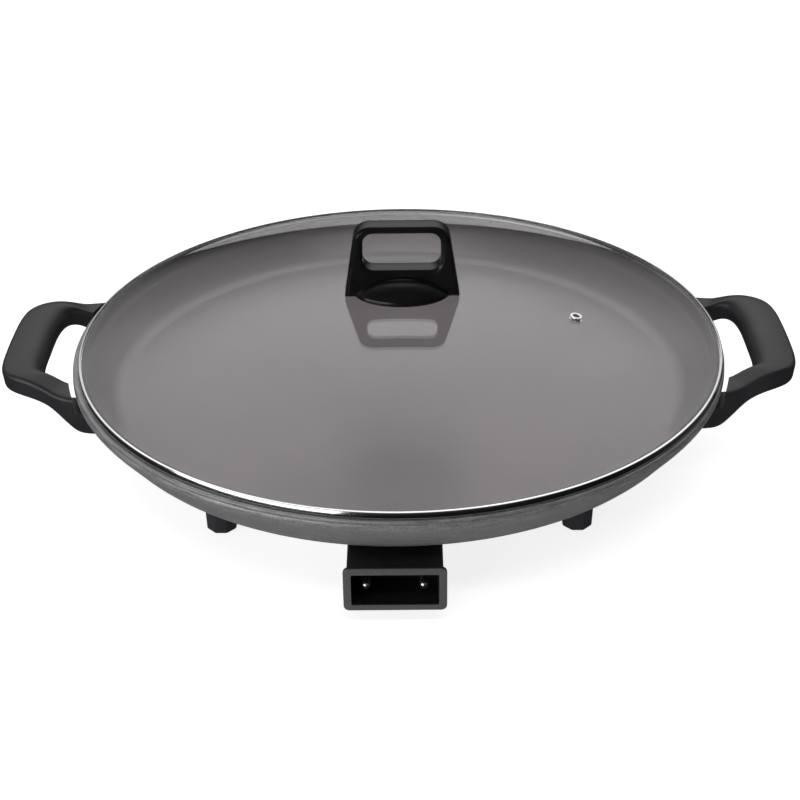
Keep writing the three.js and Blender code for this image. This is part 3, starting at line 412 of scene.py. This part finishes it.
# painted light: the flange's front face gets a lighter grey with a fine grain in it, standing for the light that falls
# on that face; the body behind it keeps its near-black polish
main = socket_plastic.node_tree.nodes["Principled BSDF"]
place = add_node(socket_plastic, "ShaderNodeTexCoord").outputs["Object"]
front_y = add_node(socket_plastic, "ShaderNodeSeparateXYZ", {0: place}).outputs["Y"]
face = add_node(socket_plastic, "ShaderNodeMapRange", {"Value": front_y, "From Min": -0.2006, "From Max": -0.2002})
grain = add_node(socket_plastic, "ShaderNodeTexNoise", {"Vector": place, "Scale": 1500.0, "Detail": 2.0})
# painted light: the lighter grey of the flange's front face
painted_face_light = shade(socket_plastic, grain.outputs["Fac"], (0.060, 0.060, 0.064), (0.085, 0.085, 0.090))
plain = main.inputs["Base Color"].links[0].from_socket
blend = add_node(socket_plastic, "ShaderNodeMix", {0: face.outputs[0], 6: painted_face_light, 7: plain}, data_type="RGBA")
socket_plastic.node_tree.links.new(blend.outputs[2], main.inputs["Base Color"])
socket = finish_piece("socket_body", housing, socket_plastic, "socket_moulding", "base", "socket_housing", sharp=40.0)
soften = socket.modifiers.new("soft_edges", "BEVEL")
soften.width, soften.segments, soften.limit_method = 0.0003, 2, "ANGLE"
soften.angle_limit = math.radians(55.0)

screw_steel = worn_steel("screw_steel", (0.50, 0.50, 0.51), (0.68, 0.68, 0.69), 0.28, 500.0, 0.00002)


def screw(length, turn):
    """A pan-head screw standing on its head, with a cross recess, the underside of the head at height zero."""
    body = turned([(0.0, -2.4, 0), (3.6, -2.4, 1.1), (3.9, 0.0, 0.2), (2.0, 0.0, 0), (2.0, length - 1.0, 0.3),
                   (1.0, length, 0.2), (0.0, length, 0)], 40)
    for angle in (turn, turn + 90.0):
        slot = block((-1.9, -0.45, -3.0), (1.9, 0.45, -1.1))
        bmesh.ops.rotate(slot, cent=(0, 0, 0), matrix=Matrix.Rotation(math.radians(angle), 3, "Z"),
                         verts=slot.verts[:])
        body = cut(body, slot)
    return body


def seat_screw(node, length, x, y, z, turn, body):
    made = screw(length, turn)
    bmesh.ops.translate(made, vec=(x, y, z), verts=made.verts[:])
    finish_piece(node + "_driven", made, screw_steel, "screw_steel", body, node)


seat_screw("housing_screw_left", 11.0, socket_x - ear_x, ear_y, 31.4, 20.0, "base")
seat_screw("housing_screw_right", 11.0, socket_x + ear_x, ear_y, 31.4, 65.0, "base")

# ---- Feet ----
# Four eight-sided posts of black heat-resistant plastic under the base, a little narrower towards the table. Each
# hangs on one screw that goes up a deep well in its underside into a boss of the casting.
foot_plastic = moulding("foot_plastic", (0.016, 0.017, 0.019), (0.028, 0.029, 0.032), 0.38, 800.0, 0.00006)
for place, (x, y) in foot_places.items():
    to_corner = 1.0 / math.cos(math.pi / 8)
    foot = turned([(0.0, 0.0, 0), (8.8 * to_corner - 1.2, 0.0, 0), (8.8 * to_corner, 1.2, 0),
                   (9.8 * to_corner, 32.7, 0), (0.0, 32.7, 0)], 8)
    bmesh.ops.rotate(foot, cent=(0, 0, 0), matrix=Matrix.Rotation(math.pi / 8, 3, "Z"), verts=foot.verts[:])
    bmesh.ops.dissolve_limit(foot, angle_limit=0.02, verts=foot.verts[:], edges=foot.edges[:])
    round_edges(foot, 0.55, 20.0)
    foot = cut(foot, turned([(0.0, -2.0, 0), (5.4, -2.0, 0), (5.0, 20.0, 0.8), (0.0, 20.0, 0)], 48))
    foot = cut(foot, turned([(0.0, 18.0, 0), (screw_hole, 18.0, 0), (screw_hole, 35.0, 0), (0.0, 35.0, 0)], 32))
    bmesh.ops.translate(foot, vec=(x, y, 0.0), verts=foot.verts[:])
    finish_piece("post_" + place, foot, foot_plastic, "foot_moulding", "base", "foot_" + place, sharp=22.0)
    seat_screw("foot_screw_" + place, 21.3, x, y, 19.7, 15.0 + x + y, "base")

# ---- Side handles ----
# Two loops moulded in black heat-resistant plastic, one the other turned round. A broad crowned grip runs down into
# two arms that deepen towards the pan, hug its side wall and take a cast lug each, with a screw from below.
# Rows from the middle of the grip to the end of an arm: window edge x, y, outer edge x, y, top, bottom, rounding
# towards the window, crown.
grip_rows = [(222.4, 0.0, 247.3, 0.0, 77.4, 63.2, 8.5, 1.6), (222.4, 12.0, 247.1, 15.0, 77.4, 63.2, 8.5, 1.6),
             (222.1, 22.0, 246.5, 28.5, 77.4, 63.2, 8.5, 1.6), (221.0, 31.0, 244.7, 39.0, 77.4, 63.2, 8.2, 1.6),
             (219.3, 37.4, 241.3, 45.8, 77.4, 63.1, 7.4, 1.5), (216.8, 41.5, 235.4, 50.6, 77.3, 62.9, 6.2, 1.2),
             (213.7, 43.8, 228.3, 54.3, 76.6, 62.3, 4.8, 0.9), (210.4, 45.0, 221.5, 57.1, 74.9, 61.0, 3.6, 0.6),
             (207.0, 45.8, 215.3, 59.4, 72.7, 58.8, 2.8, 0.4), (203.2, 46.4, 209.8, 61.9, 70.6, 55.6, 2.4, 0.3),
             (198.8, 46.7, 203.5, 64.6, 69.6, 50.4, 2.2, 0.3), (193.5, 46.8, 197.0, 66.2, 69.3, 45.0, 2.2, 0.3),
             (188.0, 46.8, 190.0, 67.0, 69.2, 43.2, 2.2, 0.3), (178.0, 46.8, 178.0, 67.2, 69.2, 43.0, 2.2, 0.3)]
outer_round, under_round, draft, handle_screw_x = 3.2, 3.0, 1.2, 195.0


def eased(rows, between):
    """Adds smooth rows between the given ones."""
    rows = [rows[0], *rows, rows[-1]]
    made = []
    for before, here, there, after in zip(rows, rows[1:], rows[2:], rows[3:]):
        for step in range(between):
            t = step / between
            made.append([0.5 * (2 * b + (c - a) * t + (2 * a - 5 * b + 4 * c - d) * t * t
                                + (3 * b - a - 3 * c + d) * t ** 3)
                         for a, b, c, d in zip(before, here, there, after)])
    return made + [list(rows[-1])]


def grip_ring(bm, row, end):
    """One section of the loop: a box with rounded corners and a crowned top."""
    inner_x, inner_y, outer_x, outer_y, top, bottom, inner_round, crown = row
    across = Vector((outer_x - inner_x, end * (outer_y - inner_y), 0.0))
    start = Vector((inner_x, end * inner_y, 0.0))
    width = across.length
    points = [(draft * -0.8, bottom, under_round), (width - draft, bottom, under_round),
              (width, top - crown, outer_round), (0.52 * width, top, 0.14 * width),
              (0.0, top - 0.6 * crown, inner_round)]
    corners = [bm.verts.new(start + across * (share / width) + Vector((0.0, 0.0, z))) for share, z, _ in points]
    edges = [bm.edges.new((a, b)) for a, b in zip(corners, corners[1:] + corners[:1])]
    known = set(bm.edges) - set(edges)
    for corner, (_, _, rounding) in zip(corners, points):
        bmesh.ops.bevel(bm, geom=[corner], offset=rounding, offset_type="OFFSET", segments=5, profile=0.5,
                        affect="VERTICES", material=-1, clamp_overlap=False)
    return [e for e in bm.edges if e not in known]


def side_handle():
    bm = bmesh.new()
    rows = eased(grip_rows, 4)
    rings = [grip_ring(bm, row, 1) for row in reversed(rows)] + [grip_ring(bm, row, -1) for row in rows[1:]]
    for ring, following in zip(rings, rings[1:]):
        bmesh.ops.bridge_loops(bm, edges=ring + following)
    bmesh.ops.holes_fill(bm, edges=[e for e in bm.edges if len(e.link_faces) == 1], sides=0)
    bmesh.ops.recalc_face_normals(bm, faces=bm.faces[:])
    seat = turned([(0.0, 30.0, 0), (184.0, 37.5, 10.5), (193.3, 50.0, 4.0), (200.3, 58.7, 0), (207.8, 58.7, 0.6),
                   (207.8, 90.0, 0), (0.0, 90.0, 0)], fine_steps)
    bm = cut(bm, seat)
    for end in (-1, 1):
        bm = cut(bm, block((170.0, end * lug_y - 4.8, 51.0), (201.3, end * lug_y + 4.8, 58.6)))
        well = turned([(0.0, 30.0, 0), (4.6, 30.0, 0), (4.6, 48.4, 0.4), (0.0, 48.4, 0)], 48)
        bmesh.ops.translate(well, vec=(handle_screw_x, end * lug_y, 0.0), verts=well.verts[:])
        bm = cut(bm, well)
        hole = turned([(0.0, 46.0, 0), (screw_hole, 46.0, 0), (screw_hole, 52.0, 0), (0.0, 52.0, 0)], 32)
        bmesh.ops.translate(hole, vec=(handle_screw_x, end * lug_y, 0.0), verts=hole.verts[:])
        bm = cut(bm, hole)
    return bm


grip_plastic = moulding("grip_plastic", (0.015, 0.015, 0.017), (0.023, 0.023, 0.026), 0.38, 1100.0, 0.00007,
                        gloss=0.36)
for side, label in ((-1, "left"), (1, "right")):
    handle = side_handle()
    if side < 0:
        bmesh.ops.rotate(handle, cent=(0, 0, 0), matrix=Matrix.Rotation(math.pi, 3, "Z"), verts=handle.verts[:])
    finish_piece("grip_" + label, handle, grip_plastic, "handle_moulding", "base", "side_handle_" + label, sharp=44.0)
    for end, end_label in ((-1, "front"), (1, "rear")):
        seat_screw("handle_screw_%s_%s" % (label, end_label), 8.2, side * handle_screw_x, end * lug_y, 48.1,
                   25.0 * side + 40.0 * end, "base")

# ---- Glass lid ----
# A shallow dome of clear tempered glass, 2.6 mm thick, with a ground edge and a drilled hole for the handle's screw
# and one for the steam vent. It lies loose on the rim, a little to the right, and lifts straight off.
lid_x, glass_edge, glass_thick, ball, crown_z = 1.2, 201.9, 2.6, 671.4, 106.0


def glass_top(radius):
    return crown_z - ball + math.sqrt(ball ** 2 - radius ** 2)


radii = [4.0 + (glass_edge - 4.0) * i / 26 for i in range(27)]
glass = turned([(r, glass_top(r) - glass_thick, 0 if r < glass_edge else 0.9) for r in radii]
               + [(r, glass_top(r), 0 if r < glass_edge else 0.9) for r in reversed(radii)], fine_steps, ring=True)
vent_radius = 110.5
vent_tilt = math.asin(vent_radius / ball)
vent_place = (Matrix.Translation((lid_x, 0.0, 0.0)) @ Matrix.Rotation(math.radians(-9.3), 4, "Z")
              @ Matrix.Translation((vent_radius, 0.0, glass_top(vent_radius) - glass_thick / 2))
              @ Matrix.Rotation(vent_tilt, 4, "Y"))
bmesh.ops.translate(glass, vec=(lid_x, 0.0, 0.0), verts=glass.verts[:])
drill = turned([(0.0, -5.0, 0), (3.0, -5.0, 0), (3.0, 5.0, 0), (0.0, 5.0, 0)], 40)
bmesh.ops.transform(drill, matrix=vent_place, verts=drill.verts[:])
glass = cut(glass, drill)


def clear_glass():
    material, main = new_material("clear_glass", Transmission_Weight=1.0, IOR=1.47, Roughness=0.0)
    place = add_node(material, "ShaderNodeTexCoord").outputs["Object"]
    film_marks = add_node(material, "ShaderNodeTexNoise", {"Vector": place, "Scale": 9.0, "Detail": 2.0})
    colour = shade(material, film_marks.outputs["Fac"], (0.955, 0.965, 0.962), (0.975, 0.98, 0.978))
    join = material.node_tree.links.new
    join(colour, main.inputs["Base Color"])
    shadow = add_node(material, "ShaderNodeLightPath").outputs["Is Shadow Ray"]
    passed = add_node(material, "ShaderNodeBsdfTransparent", {"Color": (0.93, 0.94, 0.935, 1.0)})
    both = add_node(material, "ShaderNodeMixShader", {0: shadow, 1: main.outputs["BSDF"], 2: passed.outputs[0]})
    join(both.outputs[0], material.node_tree.nodes["Material Output"].inputs["Surface"])
    return material


finish_piece("glass_dome", glass, clear_glass(), "lid_glass", "lid", "lid_glass", sharp=40.0)

# ---- Lid band ----
# A strip of bright stainless steel rolled round the edge of the glass. Its two lips grip the glass above and below
# and its outer face is rolled to a soft round.
band = turned([(200.8, glass_top(200.8) + 0.15, 0.1), (200.8, glass_top(200.8) + 0.45, 0.15), (202.1, 75.4, 0.35),
               (202.9, 72.7, 0.5), (202.6, 71.6, 0.4), (201.6, 71.5, 0.3), (199.7, 72.3, 0.15), (199.7, 72.7, 0.1),
               (202.35, 72.1, 0.3), (202.45, 73.4, 0), (201.8, 74.8, 0.3)], fine_steps, ring=True)
bmesh.ops.translate(band, vec=(lid_x, 0.0, 0.0), verts=band.verts[:])


def polished_band():
    material, main = new_material("polished_band", Metallic=1.0)
    place = add_node(material, "ShaderNodeTexCoord").outputs["Object"]
    flat = add_node(material, "ShaderNodeVectorMath", {0: place, 1: (1.0, 1.0, 0.0)}, operation="MULTIPLY")
    radius = add_node(material, "ShaderNodeVectorMath", {0: flat.outputs[0]}, operation="LENGTH").outputs["Value"]
    height = add_node(material, "ShaderNodeSeparateXYZ", {0: place}).outputs["Z"]
    lines = add_node(material, "ShaderNodeCombineXYZ", {"X": radius, "Y": height})
    rolling = add_node(material, "ShaderNodeTexNoise", {"Vector": lines.outputs[0], "Scale": 3500.0, "Detail": 2.0})
    bands = add_node(material, "ShaderNodeTexNoise", {"Vector": place, "Scale": 30.0, "Detail": 2.0})
    colour = shade(material, bands.outputs["Fac"], (0.80, 0.80, 0.81), (0.90, 0.90, 0.91))
    return set_finish(material, main, colour, 0.11, 0.05, rolling.outputs["Fac"], rolling.outputs["Fac"],
                      0.00001, 0.3)


bright_steel = polished_band()
finish_piece("rolled_band", band, bright_steel, "bright_steel", "lid", "lid_rim", sharp=60.0)


def rubber(name, dark, light):
    """Silicone rubber with a faint bloom on it."""
    material, main = new_material(name, Specular_IOR_Level=0.35)
    place = add_node(material, "ShaderNodeTexCoord").outputs["Object"]
    bloom = add_node(material, "ShaderNodeTexNoise", {"Vector": place, "Scale": 350.0, "Detail": 3.0})
    colour = shade(material, bloom.outputs["Fac"], dark, light)
    return set_finish(material, main, colour, 0.62, 0.08, bloom.outputs["Fac"], bloom.outputs["Fac"], 0.00005, 0.5)


# painted shade: a near-black ring just inside the lower lip, standing for the shade in the gap between the band, the
# edge of the glass and the rim
shade_ring = turned([(198.2, 71.6, 0.4), (199.5, 71.6, 0.3), (199.5, 72.95, 0), (198.2, 73.35, 0)], fine_steps, ring=True)
bmesh.ops.translate(shade_ring, vec=(lid_x, 0.0, 0.0), verts=shade_ring.verts[:])
finish_piece("painted_shade_ring", shade_ring, rubber("painted_shade_black", (0.004, 0.004, 0.005), (0.010, 0.010, 0.011)),
             "gasket_rubber", "lid")

# ---- Steam vent ----
# A small eyelet of bright metal, set in a hole of the glass with a flange on either side.
vent = turned([(1.9, -2.4, 0.3), (4.1, -2.4, 0.4), (4.1, -1.6, 0.1), (2.7, -1.6, 0), (2.7, 1.6, 0), (4.1, 1.6, 0.1),
               (4.1, 2.4, 0.5), (1.9, 2.4, 0.6)], 48, ring=True)
bmesh.ops.transform(vent, matrix=vent_place, verts=vent.verts[:])
finish_piece("vent_eyelet", vent, bright_steel, "bright_steel", "lid", "steam_vent", sharp=50.0)

# ---- Lid handle ----
# A gloss black moulding: a bridge with a finger window, standing on an oval bell that spreads the load on the glass.
# A brass bush in its foot takes one screw from under the glass, with a steel washer and a soft gasket.
knob_x, knob_z = 2.8, 106.3


def ring_of(bm, depth, corners):
    """A closed upright outline with rounded corners, given as (x, z, rounding) points, at one depth."""
    known = set(bm.edges)
    points = [bm.verts.new((x, depth, z)) for x, z, _ in corners]
    for a, b in zip(points, points[1:] + points[:1]):
        bm.edges.new((a, b))
    for point, (_, _, rounding) in zip(points, corners):
        if rounding:
            bmesh.ops.bevel(bm, geom=[point], offset=rounding, offset_type="OFFSET", segments=10, profile=0.5,
                            affect="VERTICES", material=-1, clamp_overlap=False)
    return [e for e in bm.edges if e not in known]


# each step is the inset of the chamfered edge and its depth, from the front face to the back
chamfer = [(1.9, -7.0), (1.7, -6.95), (1.55, -6.82), (0.18, -5.45), (0.05, -5.3), (0.0, -5.1)]
chamfer += [(inset, -depth) for inset, depth in reversed(chamfer)]
bridge = bmesh.new()
outlines = [ring_of(bridge, y, [(-35.9 + 1.17 * d, 0.4 * d, 0), (35.9 - 1.17 * d, 0.4 * d, 0),
                                (28.7 - 0.86 * d, 46.7 - d, 9.0 - d), (-28.7 + 0.86 * d, 46.7 - d, 9.0 - d)])
            for d, y in chamfer]
windows = [ring_of(bridge, y, [(-24.2 - d, 17.7 - d, 7.0 + d), (24.2 + d, 17.7 - d, 7.0 + d),
                               (24.2 + d, 42.3 + 0.5 * d, 7.0 + d), (-24.2 - d, 42.3 + 0.5 * d, 7.0 + d)])
           for d, y in chamfer]
for rings in (outlines, windows):
    for ring, following in zip(rings, rings[1:]):
        bmesh.ops.bridge_loops(bridge, edges=ring + following)
for end in (0, -1):
    bmesh.ops.triangle_fill(bridge, use_beauty=True, edges=outlines[end] + windows[end])
bmesh.ops.recalc_face_normals(bridge, faces=bridge.faces[:])
bell = turned([(0.0, 0.0, 0), (30.35, 0.0, 0.5), (30.35, 2.5, 0.7), (26.5, 6.3, 3.0), (17.0, 12.4, 5.0),
               (0.0, 15.0, 0)], 96)
bmesh.ops.scale(bell, vec=(1.0, 43.0 / 60.7, 1.0), verts=bell.verts[:])
add_to(bridge, bell)
bmesh.ops.translate(bridge, vec=(knob_x, 0.0, knob_z), verts=bridge.verts[:])
gloss_plastic = moulding("gloss_plastic", (0.0035, 0.0035, 0.004), (0.006, 0.006, 0.007), 0.2, 600.0, 0.00001,
                         gloss=0.3)
finish_piece("bridge_handle", bridge, gloss_plastic, "gloss_moulding", "lid", "lid_handle", sharp=34.0)


def brass():
    material, main = new_material("bush_brass", Metallic=1.0)
    place = add_node(material, "ShaderNodeTexCoord").outputs["Object"]
    marks = add_node(material, "ShaderNodeTexNoise", {"Vector": place, "Scale": 500.0, "Detail": 3.0})
    colour = shade(material, marks.outputs["Fac"], (0.62, 0.44, 0.16), (0.78, 0.60, 0.28))
    return set_finish(material, main, colour, 0.3, 0.08, marks.outputs["Fac"], marks.outputs["Fac"], 0.00003, 0.4)


bush = turned([(2.3, 0.3, 0.2), (4.0, 0.3, 0.3), (4.0, 4.2, 0.1), (3.5, 4.6, 0.1), (3.5, 5.6, 0.1), (4.0, 6.0, 0.1),
               (4.0, 9.8, 0.3), (2.3, 9.8, 0.2)], 40, ring=True)
bmesh.ops.translate(bush, vec=(knob_x, 0.0, knob_z), verts=bush.verts[:])
finish_piece("threaded_bush", bush, brass(), "insert_brass", "lid", "lid_handle_insert")
gasket = turned([(2.3, 102.1, 0.2), (12.0, 102.1, 0.3), (12.0, 103.1, 0.3), (2.3, 103.1, 0.2)], 64, ring=True)
bmesh.ops.translate(gasket, vec=(knob_x, 0.0, 0.0), verts=gasket.verts[:])
finish_piece("soft_gasket", gasket, rubber("gasket_silicone", (0.36, 0.36, 0.34), (0.50, 0.50, 0.47)),
             "gasket_rubber", "lid", "lid_gasket")
washer = turned([(2.3, 100.6, 0.1), (11.0, 100.6, 0.3), (11.0, 101.8, 0.3), (2.3, 101.8, 0.1)], 64, ring=True)
bmesh.ops.translate(washer, vec=(knob_x, 0.0, 0.0), verts=washer.verts[:])
finish_piece("flat_washer", washer, screw_steel, "screw_steel", "lid", "lid_washer")
seat_screw("lid_screw", 13.5, knob_x, 0.0, 100.3, 30.0, "lid")

# ---- Table and light ----
# A wide pale table under the skillet. The room is bright overhead, fairly light behind the skillet and dark behind
# the camera. A soft lamp on the left gives the casting its lighter left side, and a weak one above the camera fills.
table_top = bmesh.new()
bmesh.ops.create_grid(table_top, x_segments=2, y_segments=2, size=9.0)
table_mesh = bpy.data.meshes.new("table_top")
table_top.to_mesh(table_mesh)
table_top.free()
table = bpy.data.objects.new("table_top", table_mesh)
bpy.context.scene.collection.objects.link(table)
table.visible_glossy = False
pale, pale_main = new_material("pale_table", Specular_IOR_Level=0.1, Emission_Strength=0.8)
pale_main.inputs["Emission Color"].default_value = (1.0, 1.0, 1.0, 1.0)
table_place = add_node(pale, "ShaderNodeTexCoord").outputs["Object"]
table_cloud = add_node(pale, "ShaderNodeTexNoise", {"Vector": table_place, "Scale": 3.0, "Detail": 2.0})
table_tooth = add_node(pale, "ShaderNodeTexNoise", {"Vector": table_place, "Scale": 600.0, "Detail": 2.0})
set_finish(pale, pale_main, shade(pale, table_cloud.outputs["Fac"], (0.66, 0.66, 0.66), (0.70, 0.70, 0.70)), 0.7, 0.05,
           table_tooth.outputs["Fac"], table_tooth.outputs["Fac"], 0.00003, 0.2)
table_mesh.materials.append(pale)

room = bpy.data.worlds.new("studio_room")
room.use_nodes = True
toward = add_node(room, "ShaderNodeTexCoord").outputs["Generated"]
split = add_node(room, "ShaderNodeSeparateXYZ", {"Vector": toward})
walls = add_node(room, "ShaderNodeMapRange", {"Value": split.outputs["Y"], "From Min": -0.2, "From Max": 0.85,
                                              "To Min": 0.07, "To Max": 0.48})
skirting = add_node(room, "ShaderNodeMapRange", {"Value": split.outputs["Z"], "From Min": 0.0, "From Max": 0.36,
                                                 "To Min": 0.08})
sides = add_node(room, "ShaderNodeMath", {0: walls.outputs[0], 1: skirting.outputs[0]}, operation="MULTIPLY")
# the bright part hangs over the table and leans to the back, so that the camera's side stays dark
lean = add_node(room, "ShaderNodeVectorMath", {0: toward, 1: (0.0, 0.5, 0.866)}, operation="DOT_PRODUCT")
ceiling = add_node(room, "ShaderNodeMapRange", {"Value": lean.outputs["Value"], "From Min": 0.64, "From Max": 0.97},
                   interpolation_type="SMOOTHSTEP")
glow = add_node(room, "ShaderNodeMix", {0: ceiling.outputs[0], 2: sides.outputs[0], 3: 1.3}, data_type="FLOAT")
backdrop = room.node_tree.nodes["Background"]
backdrop.inputs["Color"].default_value = (1.0, 1.0, 1.0, 1.0)
room.node_tree.links.new(glow.outputs[0], backdrop.inputs["Strength"])
bpy.context.scene.world = room
for name, place, width, height, watts in (("left_lamp", (-1.75, -1.65, 0.55), 2.6, 1.1, 34.0),
                                          ("strip_lamp", (0.0, -1.1, 1.75), 1.5, 0.22, 7.0)):
    lamp = bpy.data.lights.new(name, "AREA")
    lamp.shape, lamp.size, lamp.size_y, lamp.energy = "RECTANGLE", width, height, watts
    holder = bpy.data.objects.new(name, lamp)
    holder.location = place
    holder.rotation_euler = (Vector((0.0, 0.0, 0.05)) - holder.location).to_track_quat("-Z", "Y").to_euler()
    bpy.context.scene.collection.objects.link(holder)
# hidden from direct reflections, though the glass still shows it as a dim patch from above and from behind
bpy.data.objects["strip_lamp"].visible_glossy = False
bpy.context.scene.view_settings.view_transform = "Standard"

# ---- Camera ----
# It stands about a metre in front of the skillet and looks down on it at thirty degrees.
lens = bpy.data.cameras.new("camera")
lens.lens, lens.sensor_width = 74.7, 36.0
lens.clip_start, lens.clip_end = 0.05, 50.0
camera = bpy.data.objects.new("camera", lens)
look = (Matrix.Rotation(math.radians(0.38), 4, "Z") @ Matrix.Rotation(math.radians(90.0 - 29.94), 4, "X")
        @ Matrix.Rotation(math.radians(-0.70), 4, "Z"))
camera.matrix_world = Matrix.Translation((0.0068, -0.9348, 0.5667)) @ look
bpy.context.scene.collection.objects.link(camera)
bpy.context.scene.camera = camera
